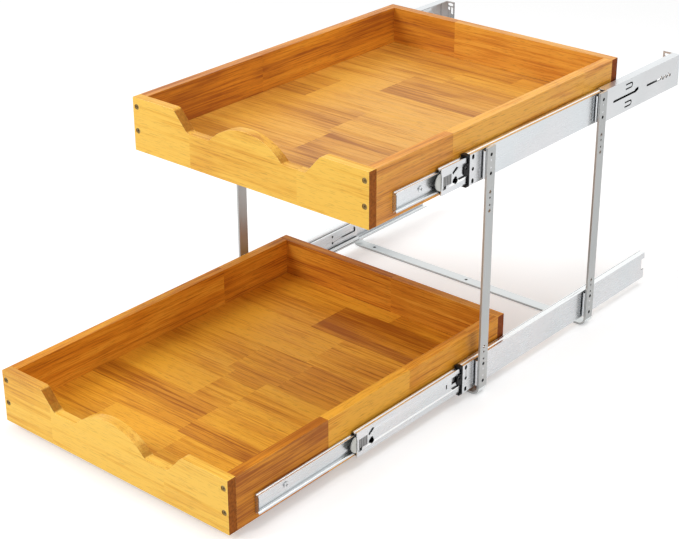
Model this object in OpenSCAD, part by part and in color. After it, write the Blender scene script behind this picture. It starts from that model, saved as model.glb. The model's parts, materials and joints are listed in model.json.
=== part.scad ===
// Pull-out cabinet basket: two wooden trays on three-section ball-bearing rails, carried by two
// U-shaped strip frames that are screwed to the cabinet floor.
// Origin: centre of the floor-screw pattern, on the underside of the floor bars.
// +X to the right, +Y into the cabinet, +Z up. The trays are drawn as far out as in normal use.

/* [Trays] */
// Outside width of a tray
tray_w = 410; // [330:1:520]
// Outside depth of a tray, front board to back board
tray_d = 555; // [540:1:600]
// Height of the boards
tray_h = 76; // [68:1:110]
// Thickness of the boards
board_t = 14; // [12:0.5:18]
// Thickness of the bottom panel
panel_t = 10; // [6:0.5:12]
// Height of the bottom panel's underside above the board edges
panel_lift = 10; // [8:0.5:11]
// Depth of the grooves that hold the bottom panel
groove_d = 5; // [3:0.5:6]
// Height of the low stretches of the front board
dip_h = 48; // [36:0.5:60]
// Distance from the tray's end to the top of the front board's slope
slope_start = 77; // [40:1:90]
// Width of each slope of the front board
slope_w = 25; // [15:1:40]
// Half width of the round rise at the middle of the front board
bump_half_w = 64; // [45:1:80]

/* [Tray screws] */
// Shank diameter of the wood screws
wood_screw_d = 4; // [3:0.1:5]
// Head diameter of the wood screws
wood_screw_head_d = 8; // [6:0.1:10]
// Length of the wood screws
wood_screw_l = 40; // [30:1:60]
// Depth to which the countersunk heads are driven
wood_screw_sink = 0.8; // [0.2:0.1:2]
// Height of the lower wood screws above the board edge
wood_screw_low = 29; // [26:0.5:34]
// Spacing of the two wood screws at each corner
wood_screw_gap = 34; // [20:0.5:36]

/* [Rails] */
// Length of the outer and inner rails
rail_l = 472; // [450:1:500]
// Height of the outer rail
rail_h = 45; // [44:0.1:46]
// Thickness of a closed rail, tray to outer web
rail_t = 12.7; // [12.7:0.1:14]
// Sheet thickness of the outer rail
outer_t = 1.2; // [1:0.05:1.2]
// Sheet thickness of the middle rail
middle_t = 1.2; // [1.1:0.05:1.25]
// Sheet thickness of the inner rail
inner_t = 1; // [0.8:0.05:1.1]
// How much shorter the middle rail is than the outer rail
middle_short = 12; // [8:1:30]
// Distance from the tray's front to the inner rail's front end
inner_setback = 45; // [20:1:60]
// Travel of the lower tray from closed to the drawn place
lower_out = 399; // [380:1:410]
// Travel of the upper tray from closed to the drawn place
upper_out = 141.5; // [60:0.5:200]
// Travel of the lower left middle rail from closed to the drawn place
lower_left_middle_out = 168; // [150:0.5:226]
// Travel of the lower right middle rail from closed to the drawn place
lower_right_middle_out = 220.5; // [190:0.5:226]
// Travel of the upper middle rails from closed to the drawn place
upper_middle_out = 56; // [30:0.5:100]

/* [Balls and cages] */
// Diameter of the outer balls
outer_ball_d = 3.8; // [3.6:0.05:3.9]
// Diameter of the inner balls
inner_ball_d = 3.3; // [3.1:0.05:3.4]
// Gap between a ball and its groove
ball_gap = 0.25; // [0.2:0.01:0.3]
// Length of a ball cage
cage_l = 150; // [120:1:155]
// Sheet thickness of the ball cages
cage_t = 0.4; // [0.3:0.02:0.4]
// Number of balls in a row
ball_count = 8; // [4:1:9]
// Spacing of the balls in a row
ball_pitch = 19; // [8:0.5:19]
// Front end of the outer cage behind the outer rail's front, tray closed
outer_cage_start = 150; // [145:1:155]
// Front end of the inner cage behind the outer rail's front, tray closed
inner_cage_start = 170; // [168:1:175]

/* [Frames] */
// Height of the frames, floor to the top of the uprights
frame_h = 366; // [365:1:400]
// Width of the frames' strip
strip_w = 18; // [16:0.5:25]
// Thickness of the frames' strip
strip_t = 3; // [2:0.1:4]
// Outside radius of the bends at the floor
bend_r = 12; // [8:0.5:12]
// Distance between the front and the rear frame, middle to middle
frame_pitch = 268; // [200:1:280]
// Distance from the outer rail's front end to the middle of the front frame
frame_setback = 36; // [30:1:60]
// Gap between the floor bar and the lower tray
floor_gap = 9; // [6:0.5:20]
// Height of the upper tray above the lower tray
tier_pitch = 307.5; // [240:0.5:308]
// Distance from the middle of a floor bar to its end holes
floor_hole_x = 186.5; // [120:0.5:190]
// Diameter of the floor screw holes
floor_hole_d = 5; // [4:0.1:7]

/* [Upright holes] */
// Diameter of the large holes
big_hole_d = 5; // [4:0.1:6]
// Diameter of the small holes and their rivets
small_hole_d = 3; // [2.5:0.1:3.5]
// Spacing of the large holes of a group
big_hole_gap = 26.4; // [24:0.1:28]
// Spacing of the small holes of a group
small_hole_gap = 10.5; // [8:0.1:12]
// Drop from the upper rail's group to the spare group
spare_group_drop = 52.5; // [40:0.5:80]

/* [Stand-offs] */
// Gap between the outer rail and the upright
standoff_gap = 5.2; // [5:0.1:8]
// Height of a stand-off clip
clip_h = 38; // [34:0.5:44]
// Depth of a stand-off clip
clip_d = 16; // [12:0.5:20]
// Sheet thickness of a stand-off clip
clip_t = 1.2; // [1:0.1:1.3]
// How far a clip stands out ahead of the upright
clip_lead = 0.5; // [0.5:0.1:3]
// Diameter of the rivet heads
rivet_head_d = 5; // [4:0.1:5.5]
// Thickness of the rivet heads
rivet_head_t = 0.7; // [0.5:0.05:0.7]

/* [Rear brackets] */
// Sheet thickness of the rear brackets
bracket_t = 1.3; // [1:0.05:1.3]
// Length of a rear bracket behind the upright
bracket_l = 205; // [195:1:230]
// Depth of the rear brackets' channel
bracket_d = 13; // [12:0.5:16]
// Width of the flange at the bracket's rear end
rear_flange_w = 28; // [26:0.5:34]

/* [Plastic parts] */
// Radius of the bumper's round nose
bumper_r = 11.7; // [10:0.1:12]
// How far the bumper stands out ahead of the middle rail
bumper_nose = 9.5; // [6:0.1:9.5]
// Height of the ribbed latch plate
latch_h = 13; // [8:0.1:13]
// How far the end stop's plate stands out ahead of the outer rail
stop_nose = 2.4; // [2:0.1:5]

/* [Fit] */
// Sliding clearance of the bottom panel in its grooves
panel_gap = 0.15; // [0.1:0.05:0.3]
// Radial clearance of screws and rivets in their holes
hole_gap = 0.05; // [0.02:0.01:0.1]
// Clearance between a rear bracket and the outer rail in it
sleeve_gap = 0.1; // [0.05:0.01:0.2]

/* [Hidden] */
$fn = 64;

// Overshoot of a cutting tool past the face it cuts
cut = 1;

LEFT = -1;
RIGHT = 1;
FRONT = -1;
REAR = 1;
LOWER = 0;
UPPER = 1;

// Places of the main pieces
frame_y = frame_pitch / 2;
rail_y = -frame_y - frame_setback;
tray_z = strip_t + floor_gap;
strip_x = tray_w / 2 + rail_t + standoff_gap;
frame_half_w = strip_x + strip_t;
function level_z(level) = tray_z + level * tier_pitch;
function rail_z(level) = level_z(level) + rail_h / 2;
function tray_out(level) = level == LOWER ? lower_out : upper_out;
function middle_out(level, side) =
    level == UPPER ? upper_middle_out : side == LEFT ? lower_left_middle_out : lower_right_middle_out;
function tray_y(level) = rail_y - inner_setback - tray_out(level);

// Fillets of the front board's outline: at the slopes' ends and at the feet of the middle rise
slope_r = 8;
foot_r = 7;

// Rail section, in the plane across the rail: u runs outwards from the tray's side, v up from the
// rail's middle line. Both rows of balls run in grooves whose centres are given here.
outer_web_u = rail_t - outer_t;
outer_groove_r = outer_ball_d / 2 + ball_gap;
inner_groove_r = inner_ball_d / 2 + ball_gap;
ball_row_step = 5;
outer_ball_u = 6.85;
outer_ball_v = rail_h / 2 - outer_t - outer_groove_r;
inner_ball_u = 3.9;
inner_ball_v = outer_ball_v - ball_row_step;
outer_race_r = outer_groove_r + outer_t;
middle_outer_race_r = outer_groove_r + middle_t;
middle_inner_race_r = inner_groove_r + middle_t;
inner_race_r = inner_groove_r + inner_t;
race_mouth = 0.6;
inner_race_mouth = 0.4;
weld = 0.05;
shoulder_rise = 1.1;
shoulder_v = outer_ball_v + shoulder_rise;
lip_w = 1.2;
lip_bite = 0.4;
lip_drop = 0.2;
lip_u = outer_ball_u - outer_race_r - lip_w + lip_bite;
lip_v = outer_ball_v - lip_drop;

// Middle rail's web: its middle stands out past its shoulders
middle_shoulder_u = outer_ball_u + middle_outer_race_r;
middle_swell = 0.65;
middle_web_u = middle_shoulder_u + middle_swell;
swell_v = 7;
swell_slope = 4;

// Ball cages
running_gap = 0.2;
cage_web_gap = 0.65;
cage_lip_gap = 0.35;
outer_cage_u = middle_web_u + running_gap + cage_t;
outer_cage_lip_u = lip_u + lip_w + cage_lip_gap;
inner_cage_u = middle_shoulder_u - middle_t - cage_web_gap;
inner_cage_lip_u = inner_ball_u - inner_ball_d / 2 - cage_web_gap;
cage_end = 8.5;
ball_hole_gap = 0.1;

// Rail details, as distances behind the rail's front end
web_hole_y = 7;
web_hole_gap = 16.6;
web_hole_d = 5;
web_slot_l = 6.8;
rear_notch_d = 8;
rear_notch_low = -6.5;
rear_notch_high = 11.5;
window_y = 3;
window_l = 17;
window_gap = 0.2;
window_foot_l = 6.5;
window_foot_drop = 5;
slant_slot_y = 22.4;
slant_slot_v = 5.4;
slant_slot_l = 11.8;
slant_slot_w = 3.9;
slant_slot_turn = 29.5;
slant_tail_y = 30.5;
slant_tail_v = 10.6;
slant_tail_l = 4;
slant_tail_w = 1.4;
clover_lobes = [[28.3, -3.2, 3.4], [26, -5, 3.5], [29.9, -7.1, 3.6]];
rear_hook_margin = 3.5;
rear_hook_l = 34.5;
rear_hook_w = 4;
rear_hook_v = -3.4;
rear_hook_end_l = 9.6;
rear_hook_end_w = 8.6;
rear_hook_end_v = -0.6;
rear_dot_d = 4;
rear_dot_setback = 60.5;
rear_dots_v = [-6.9, 4.1];
rear_window_y = 198;
rear_window_l = 13;
rear_window_low = 1.5;
rear_window_h = 9.5;
release_slot_y = 186.8;
release_slot_v = 2.9;
release_slot_l = 7;
release_slot_w = 2.4;
rail_screw_places = [54, 246, 440];
rail_screw_d = 4;
rail_screw_head_d = 8;
rail_screw_head_t = 1.9;
rail_screw_l = 9;
end_wall_corner = 2.5;
end_wall_gap = 0.45;
recess_l = 4.4;
recess_w = 0.9;
recess_d = 1.1;
screw_point_l = 4;
screw_point_d = 1;

// Plastic parts
bumper_gap = 0.4;
bumper_u = inner_ball_u + inner_race_r + bumper_gap;
bumper_t = 2.2;
bumper_body_l = 22;
latch_margin = 1;
latch_leg_l = 2;
latch_leg_drop = 4;
rib_count = 5;
rib_groove_w = 1;
rib_groove_d = 0.6;
stop_u = middle_web_u + running_gap;
stop_t = 1.4;
stop_v = 18;
stop_tongue_l = 9;
stop_claw_u = 3;
stop_claw_low = outer_ball_v - race_mouth + 0.35;
stop_claw_top = 22;
stop_claw_l = 7;
stop_lug_y = -6.5;
stop_lug_v = 2.7;
stop_lug_l = 15.5;
stop_lug_w = 11;
stop_eye_v = 6;
stop_eye_l = 6;
stop_eye_w = 4.4;
stop_finger_l = 21;
stop_finger_v = -5.5;
stop_finger_w = 1;

// Rear bracket details, as distances behind the rear upright
bracket_half_h = rail_h / 2 + sleeve_gap + bracket_t;
bracket_tab_h = 34;
lance_y = 54;
lance_l = 19;
lance_h = 9;
lance_v = 13.5;
lance_cut = 2.2;
keyslot_y = 22;
keyslot_l = 60;
keyslot_w = 3.4;
keyslot_end_l = 11;
keyslot_end_w = 5.4;
keyslot_end_turn = 18;
adjust_slot_y = 113;
adjust_slot_l = 40;
adjust_slot_w = 3.2;
wave_count = 3;
wave_pitch = 10;
wave_rise = 2;
wave_steps = 8;
flange_slot_w = 4.6;
flange_slot_in = 2.2;
flange_bar_l = 10.6;
flange_bar_v = 18.8;
flange_post_top = 14.9;
long_post_l = 12;
short_post_l = 6;

steel = "#c9cfd4";
strip_steel = "#bfc3c4";
cage_steel = "#9aa0a3";
pale_plastic = "#d6d6cf";
black_plastic = "#1c1d1f";
brass = "#b08a3c";
honey_wood = "#d99a45";
side_wood = "#c98437";
floor_wood = "#c07a35";

// ---- Helpers ----

// Puts a piece that is drawn for the right-hand rail in the place of one of the rails
module at_rail(level, side) {
    translate([0, rail_y, rail_z(level)])
        if (side == RIGHT) translate([tray_w / 2, 0, 0]) children();
        else mirror([1, 0, 0]) translate([tray_w / 2, 0, 0]) children();
}

// Extrudes a section (u, v) along the rail from y0 to y1
module run(y0, y1) {
    translate([0, y1, 0]) rotate([90, 0, 0]) linear_extrude(height = y1 - y0) children();
}

// Draws a section and its mirror image below the rail's middle line
module both_edges() {
    children();
    mirror([0, 1, 0]) children();
}

// Cylinder along X from u0 to u1
module bar_x(d, u0, u1) {
    translate([u0, 0, 0]) rotate([0, 90, 0]) cylinder(d = d, h = u1 - u0);
}

// Slot along Y through a web, from u0 to u1, with round ends, starting at y = 0
module slot_y(l, w, u0, u1) {
    for (end = [w / 2, l - w / 2]) translate([0, end, 0]) bar_x(w, u0, u1);
    translate([u0, w / 2, -w / 2]) cube([u1 - u0, l - w, w]);
}

// Bar or slot along Z through a web, from u0 to u1, with round ends, centred on z = 0
module slot_z(l, w, u0, u1) {
    for (end = [-1, 1]) translate([0, 0, end * (l - w) / 2]) bar_x(w, u0, u1);
    translate([u0, -w / 2, -(l - w) / 2]) cube([u1 - u0, w, l - w]);
}

// Part of a ring between two radii, from v_low to v_high
module ring_band(u, v, r_in, r_out, v_low, v_high) {
    intersection() {
        translate([u, v]) difference() {
            circle(r = r_out);
            circle(r = r_in);
        }
        translate([u - r_out - cut, v_low]) square([2 * (r_out + cut), v_high - v_low]);
    }
}

// ---- Rail sections ----

module outer_section() {
    translate([outer_web_u, -shoulder_v - outer_t / 2])
        square([outer_t, 2 * shoulder_v + outer_t]);
    both_edges() {
        ring_band(outer_ball_u, outer_ball_v, outer_groove_r, outer_race_r, shoulder_v, rail_h);
        translate([outer_ball_u + outer_groove_r, shoulder_v])
            square([rail_t - outer_ball_u - outer_groove_r, outer_t]);
        translate([lip_u, lip_v]) square([lip_w, shoulder_v + outer_t - lip_v]);
    }
}

module middle_section() {
    shoulder_in = middle_shoulder_u - middle_t;
    top = outer_ball_v - race_mouth;
    bend_v = swell_v + swell_slope;
    polygon([
        [middle_web_u, -swell_v], [middle_web_u, swell_v], [middle_shoulder_u, bend_v],
        [middle_shoulder_u, top], [shoulder_in, top], [shoulder_in, bend_v],
        [middle_web_u - middle_t, swell_v], [middle_web_u - middle_t, -swell_v],
        [shoulder_in, -bend_v], [shoulder_in, -top], [middle_shoulder_u, -top],
        [middle_shoulder_u, -bend_v]
    ]);
    both_edges() {
        ring_band(outer_ball_u, outer_ball_v, outer_groove_r, middle_outer_race_r, 0, top);
        ring_band(inner_ball_u, inner_ball_v, inner_groove_r, middle_inner_race_r,
            inner_ball_v + inner_race_mouth, rail_h);
    }
}

module inner_section() {
    floor_v = inner_ball_v - inner_race_r + weld;
    square_top = floor_v + inner_t;
    translate([0, -square_top]) square([inner_t, 2 * square_top]);
    both_edges() {
        translate([0, floor_v]) square([inner_ball_u, inner_t]);
        ring_band(inner_ball_u, inner_ball_v, inner_groove_r, inner_race_r,
            0, inner_ball_v - inner_race_mouth);
    }
}

// Channel of a ball cage: its flanges lie on the ball rows at +v and -v, its web ends at web_u
module cage_section(lip_u, web_u, v) {
    top = v + cage_t / 2;
    inside = v - cage_t / 2;
    polygon([
        [lip_u, top], [web_u, top], [web_u, -top], [lip_u, -top], [lip_u, -inside],
        [web_u - cage_t, -inside], [web_u - cage_t, inside], [lip_u, inside]
    ]);
}

// ---- Rails ----

module outer_rail(level, side) {
    color(steel) at_rail(level, side) difference() {
        run(0, rail_l) outer_section();
        for (row = [-1, 1]) translate([0, web_hole_y, row * web_hole_gap])
            slot_z(web_slot_l, web_hole_d, outer_web_u - cut, rail_t + cut);
        translate([0, web_hole_y, 0]) bar_x(web_hole_d, outer_web_u - cut, rail_t + cut);
        translate([outer_web_u - cut, rail_l - rear_notch_d, rear_notch_low])
            cube([outer_t + 2 * cut, rear_notch_d + cut, rear_notch_high - rear_notch_low]);
        for (place = [FRONT, REAR], row = [-1, 1])
            translate([0, clip_middle(place), row * rivet_row_v])
                bar_x(small_hole_d + 2 * hole_gap, outer_web_u - cut, rail_t + cut);
    }
}

module middle_rail(level, side) {
    u0 = middle_shoulder_u - middle_t - cut;
    u1 = middle_web_u + cut;
    color(steel) at_rail(level, side) translate([0, -middle_out(level, side), 0]) difference() {
        run(0, rail_l - middle_short) middle_section();
        translate([u0, window_y, -latch_h / 2 - window_gap])
            cube([u1 - u0, window_l, latch_h + 2 * window_gap]);
        translate([u0, window_y, -latch_h / 2 - window_foot_drop])
            cube([u1 - u0, window_foot_l, window_foot_drop]);
        translate([0, slant_slot_y, slant_slot_v]) rotate([slant_slot_turn, 0, 0])
            slot_y(slant_slot_l, slant_slot_w, u0, u1);
        translate([0, slant_tail_y, slant_tail_v]) slot_y(slant_tail_l, slant_tail_w, u0, u1);
        for (lobe = clover_lobes) translate([0, lobe[0], lobe[1]]) bar_x(2 * lobe[2], u0, u1);
        translate([u0, rear_window_y, rear_window_low]) cube([u1 - u0, rear_window_l, rear_window_h]);
        translate([0, release_slot_y, release_slot_v])
            slot_z(release_slot_l, release_slot_w, u0, u1);
        translate([0, rail_l - middle_short, 0]) rear_hook(u0, u1);
    }
}

// Hook-shaped slot and two small holes, ahead of the middle rail's rear end
module rear_hook(u0, u1) {
    translate([0, -rear_hook_margin - rear_hook_l, rear_hook_v])
        slot_y(rear_hook_l, rear_hook_w, u0, u1);
    translate([0, -rear_hook_margin - rear_hook_end_w / 2, rear_hook_end_v])
        slot_z(rear_hook_end_l, rear_hook_end_w, u0, u1);
    for (v = rear_dots_v) translate([0, -rear_dot_setback, v]) bar_x(rear_dot_d, u0, u1);
}

module inner_rail(level, side) {
    wall_half = inner_ball_v - inner_race_r - end_wall_gap;
    wall_w = inner_ball_u + inner_race_r - inner_t;
    color(steel) at_rail(level, side) translate([0, -tray_out(level), 0]) difference() {
        union() {
            run(0, rail_l) inner_section();
            intersection() {
                run(0, inner_t) union() {
                    translate([0, -wall_half]) square([wall_w - end_wall_corner, 2 * wall_half]);
                    translate([0, end_wall_corner - wall_half])
                        square([wall_w, 2 * (wall_half - end_wall_corner)]);
                    for (row = [-1, 1])
                        translate([wall_w - end_wall_corner, row * (wall_half - end_wall_corner)])
                            circle(r = end_wall_corner);
                }
                translate([0, 0, -rail_h / 2]) cube([rail_t, inner_t, rail_h]);
            }
        }
        for (place = rail_screw_places) translate([0, place, 0])
            bar_x(rail_screw_d + 2 * hole_gap, -cut, inner_t + cut);
    }
}

// ---- Ball cages and balls ----

function outer_cage_y(level, side) = outer_cage_start - middle_out(level, side) / 2;
function inner_cage_y(level, side) = inner_cage_start - (middle_out(level, side) + tray_out(level)) / 2;

// Places something at each ball of a cage: two rows, above and below the middle line
module each_ball(u, v) {
    for (row = [-1, 1], k = [0 : ball_count - 1])
        translate([u, cage_end + k * ball_pitch, row * v]) children();
}

module outer_cage(level, side) {
    color(cage_steel) at_rail(level, side) translate([0, outer_cage_y(level, side), 0]) difference() {
        run(0, cage_l) cage_section(outer_cage_lip_u, outer_cage_u, outer_ball_v);
        each_ball(outer_ball_u, outer_ball_v)
            cylinder(d = outer_ball_d + 2 * ball_hole_gap, h = 4 * cage_t, center = true);
    }
}

module inner_cage(level, side) {
    color(cage_steel) at_rail(level, side) translate([0, inner_cage_y(level, side), 0]) difference() {
        run(0, cage_l) cage_section(inner_cage_lip_u, inner_cage_u, inner_ball_v);
        each_ball(inner_ball_u, inner_ball_v)
            cylinder(d = inner_ball_d + 2 * ball_hole_gap, h = 4 * cage_t, center = true);
    }
}

module outer_balls(level, side) {
    color(steel) at_rail(level, side) translate([0, outer_cage_y(level, side), 0])
        each_ball(outer_ball_u, outer_ball_v) sphere(d = outer_ball_d);
}

module inner_balls(level, side) {
    color(steel) at_rail(level, side) translate([0, inner_cage_y(level, side), 0])
        each_ball(inner_ball_u, inner_ball_v) sphere(d = inner_ball_d);
}

// ---- Plastic parts of the rails ----

// A plate with an eyelet lug and a thin finger ahead of the outer rail's end, claws over the
// middle rail's edges, and a tongue behind the outer rail's web
module end_stop(level, side) {
    color(black_plastic) at_rail(level, side) difference() {
        union() {
            translate([stop_u, -stop_nose, -stop_claw_top]) cube([stop_t, stop_nose, 2 * stop_claw_top]);
            translate([stop_u, 0, -stop_v]) cube([outer_web_u - stop_u, stop_tongue_l, 2 * stop_v]);
            translate([0, stop_lug_y, stop_lug_v])
                slot_z(stop_lug_l, stop_lug_w, stop_u, stop_u + stop_t);
            translate([stop_u, stop_lug_y, stop_lug_v - stop_lug_l / 2])
                cube([stop_t, -stop_lug_y, stop_lug_l]);
            translate([stop_u, -stop_finger_l, stop_finger_v - stop_finger_w / 2])
                cube([stop_t, stop_finger_l, stop_finger_w]);
            both_sides() translate([stop_claw_u, -stop_claw_l, stop_claw_low])
                cube([stop_u + stop_t - stop_claw_u, stop_claw_l, stop_claw_top - stop_claw_low]);
        }
        translate([0, stop_lug_y, stop_eye_v])
            slot_z(stop_eye_l, stop_eye_w, stop_u - cut, stop_u + stop_t + cut);
        translate([0, web_hole_y, 0]) bar_x(web_hole_d, stop_u - cut, rail_t);
    }
}

module bumper(level, side) {
    body_half = latch_h / 2 + latch_margin;
    plate_u = bumper_u + bumper_t;
    rib_pitch = (window_l - 2 * window_gap) / rib_count;
    first_groove_y = window_y + window_gap + (rib_pitch - rib_groove_w) / 2;
    color(pale_plastic) at_rail(level, side) translate([0, -middle_out(level, side), 0]) difference() {
        union() {
            intersection() {
                translate([0, bumper_r - bumper_nose, 0]) bar_x(2 * bumper_r, bumper_u, plate_u);
                translate([bumper_u, -bumper_nose - cut, -bumper_r])
                    cube([bumper_t, bumper_nose + cut, 2 * bumper_r]);
            }
            translate([bumper_u, 0, -body_half])
                cube([middle_web_u - middle_t - bumper_u, bumper_body_l, 2 * body_half]);
            translate([bumper_u, window_y + window_gap, -latch_h / 2])
                cube([middle_web_u - bumper_u, window_l - 2 * window_gap, latch_h]);
            translate([bumper_u, window_y + window_gap, -latch_h / 2 - latch_leg_drop])
                cube([middle_web_u - bumper_u, latch_leg_l, latch_leg_drop + cut]);
        }
        for (k = [0 : rib_count - 1])
            translate([middle_web_u - rib_groove_d, first_groove_y + k * rib_pitch, -latch_h / 2 - cut])
                cube([rib_groove_d + cut, rib_groove_w, latch_h + 2 * cut]);
    }
}

// ---- Frames ----

// Outline of a frame: a U with rounded lower corners
module u_outline(half_w, bottom, r) {
    for (side = [LEFT, RIGHT]) translate([side * (half_w - r), bottom + r]) circle(r = r);
    translate([-half_w, bottom + r]) square([2 * half_w, frame_h + cut - bottom - r]);
    translate([-half_w + r, bottom]) square([2 * (half_w - r), r + cut]);
}

// Heights of the hole groups of an upright
hole_groups = [
    rail_z(LOWER), rail_z(LOWER) + big_hole_gap,
    rail_z(UPPER) - spare_group_drop, rail_z(UPPER)
];

module frame(place) {
    color(strip_steel) translate([0, place * frame_y, 0]) difference() {
        translate([0, strip_w / 2, 0]) rotate([90, 0, 0]) linear_extrude(height = strip_w)
            intersection() {
                difference() {
                    u_outline(frame_half_w, 0, bend_r);
                    u_outline(frame_half_w - strip_t, strip_t, bend_r - strip_t);
                }
                translate([-frame_half_w - cut, 0]) square([2 * (frame_half_w + cut), frame_h]);
            }
        upright_holes();
        for (x = [-floor_hole_x, 0, floor_hole_x])
            translate([x, 0, -cut]) cylinder(d = floor_hole_d, h = strip_t + 2 * cut);
    }
}

// Large holes and small holes of both uprights; the lower two groups share a large hole
module upright_holes() {
    big_heights = [
        for (k = [0 : 2]) rail_z(LOWER) + (k - 0.5) * big_hole_gap,
        for (z = [hole_groups[2], hole_groups[3]], row = [-1, 1]) z + row * big_hole_gap / 2
    ];
    for (side = [LEFT, RIGHT]) {
        for (z = big_heights) upright_hole(side, z, big_hole_d);
        for (z = hole_groups, row = [-1, 1])
            upright_hole(side, z + row * small_hole_gap / 2, small_hole_d + 2 * hole_gap);
    }
}

module upright_hole(side, z, d) {
    translate([side * (strip_x + strip_t / 2), 0, z]) rotate([0, 90, 0])
        cylinder(d = d, h = strip_t + 2 * cut, center = true);
}

// ---- Stand-off clips and rivets ----

// Place of a clip's middle behind the outer rail's front end
function clip_middle(place) = frame_setback + (place == REAR ? frame_pitch : 0);
rivet_row_v = 12;

// The upper rear clips sit between the rail and the rear bracket, so they are thinner
function clip_gap(level, place) =
    standoff_gap - (level == UPPER && place == REAR ? bracket_t : 0);

// Folded clip: its closed side faces the front, its legs lie on the rail and on the upright
module clip(gap) {
    front = -strip_w / 2 - clip_lead;
    difference() {
        translate([rail_t, front, -clip_h / 2]) linear_extrude(height = clip_h) difference() {
            round_nose(gap, clip_d);
            translate([clip_t, clip_t]) round_nose(gap - 2 * clip_t, clip_d);
        }
        for (row = [-1, 1]) {
            translate([0, 0, row * rivet_row_v])
                bar_x(small_hole_d + 2 * hole_gap, rail_t - cut, rail_t + clip_t + cut / 2);
            translate([0, 0, row * small_hole_gap / 2])
                bar_x(small_hole_d + 2 * hole_gap, rail_t + gap - clip_t - cut / 2, rail_t + gap + cut);
        }
    }
}

// Strip of width w and length l whose end at y = 0 is a half circle
module round_nose(w, l) {
    translate([w / 2, w / 2]) circle(r = w / 2);
    translate([0, w / 2]) square([w, l - w / 2]);
}

module standoffs(place) {
    color(steel) for (level = [LOWER, UPPER], side = [LEFT, RIGHT])
        at_rail(level, side) translate([0, clip_middle(place), 0]) clip(clip_gap(level, place));
}

// Rivets that hold a clip: one pair through the rail's web, one pair through the upright
module clip_rivets(gap) {
    leg_u = rail_t + gap - clip_t;
    for (row = [-1, 1]) {
        translate([0, 0, row * rivet_row_v]) {
            bar_x(small_hole_d, outer_web_u, rail_t + clip_t);
            bar_x(rivet_head_d, rail_t + clip_t, rail_t + clip_t + rivet_head_t);
        }
        translate([0, 0, row * small_hole_gap / 2]) {
            bar_x(small_hole_d, leg_u, rail_t + standoff_gap + strip_t);
            bar_x(rivet_head_d, leg_u - rivet_head_t, leg_u);
        }
    }
}

module standoff_rivets() {
    color(steel) for (place = [FRONT, REAR], level = [LOWER, UPPER], side = [LEFT, RIGHT])
        at_rail(level, side) translate([0, clip_middle(place), 0]) clip_rivets(clip_gap(level, place));
}

// ---- Rear brackets ----

// Channel that wraps the upper outer rail behind the rear upright and ends in a slotted flange
module rear_bracket(side) {
    web_u = rail_t + standoff_gap;
    start = clip_middle(REAR) + strip_w / 2;
    in_u = web_u - bracket_t;
    color(steel) at_rail(UPPER, side) translate([0, start, 0]) difference() {
        union() {
            run(0, bracket_l) difference() {
                translate([web_u - bracket_d, -bracket_half_h]) square([bracket_d, 2 * bracket_half_h]);
                translate([web_u - bracket_d - cut, bracket_t - bracket_half_h])
                    square([bracket_d - bracket_t + cut, 2 * (bracket_half_h - bracket_t)]);
            }
            translate([in_u, -strip_w, -bracket_tab_h / 2]) cube([bracket_t, strip_w + cut, bracket_tab_h]);
            translate([web_u - rear_flange_w, bracket_l - bracket_t, -bracket_half_h])
                cube([rear_flange_w, bracket_t, 2 * bracket_half_h]);
        }
        for (row = [-1, 1]) translate([0, -strip_w / 2, row * small_hole_gap / 2])
            bar_x(small_hole_d + 2 * hole_gap, in_u - cut, web_u + cut);
        for (row = [-1, 1]) translate([0, -strip_w / 2, row * big_hole_gap / 2])
            bar_x(big_hole_d, in_u - cut, web_u + cut);
        for (row = [-1, 1]) translate([in_u - cut, lance_y, row * lance_v]) lance();
        translate([0, keyslot_y, 0]) slot_y(keyslot_l, keyslot_w, in_u - cut, web_u + cut);
        translate([0, keyslot_y + keyslot_l - keyslot_end_w / 2, 0]) rotate([keyslot_end_turn, 0, 0])
            slot_y(keyslot_end_l, keyslot_end_w, in_u - cut, web_u + cut);
        translate([0, adjust_slot_y, 0]) slot_y(adjust_slot_l, adjust_slot_w, in_u - cut, web_u + cut);
        translate([in_u - cut, adjust_slot_y + adjust_slot_l - adjust_slot_w / 2, 0]) wave_slot();
        flange_slots(web_u);
    }
}

// Tongue cut free on three sides, with a round rear end
module lance() {
    depth = bracket_t + 2 * cut;
    r = lance_h / 2;
    rotate([90, 0, 90]) linear_extrude(height = depth) difference() {
        union() {
            translate([0, -r]) square([lance_l - r, lance_h]);
            translate([lance_l - r, 0]) circle(r = r);
        }
        translate([-cut, lance_cut - r]) square([lance_l - r + cut, lance_h - 2 * lance_cut]);
        translate([lance_l - r, 0]) circle(r = r - lance_cut);
    }
}

// Wavy end of the adjusting slot
module wave_slot() {
    steps = wave_steps * wave_count;
    half = adjust_slot_w / 2;
    function wave(k) = wave_rise * sin(k * 360 / wave_steps);
    upper_line = [for (k = [0 : steps]) [k * wave_pitch / wave_steps, wave(k) + half]];
    lower_line = [for (k = [steps : -1 : 0]) [k * wave_pitch / wave_steps, wave(k) - half]];
    rotate([90, 0, 90]) linear_extrude(height = bracket_t + 2 * cut)
        polygon(concat(upper_line, lower_line));
}

// Slots of the rear flange, alike above and below the middle line: one lying, two standing
module flange_slots(web_u) {
    free_u = web_u - rear_flange_w + flange_slot_in + flange_slot_w / 2;
    far_u = free_u + flange_bar_l - flange_slot_w;
    y = bracket_l - bracket_t - cut;
    both_sides() {
        flange_slot([free_u, y, flange_bar_v], [far_u, y, flange_bar_v]);
        standing_slot(free_u, y, long_post_l);
        standing_slot(far_u, y, short_post_l);
    }
}

module standing_slot(u, y, l) {
    top = flange_post_top - flange_slot_w / 2;
    flange_slot([u, y, top], [u, y, top - l + flange_slot_w]);
}

// Draws something and its mirror image below the rail's middle line
module both_sides() {
    children();
    mirror([0, 0, 1]) children();
}

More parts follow.
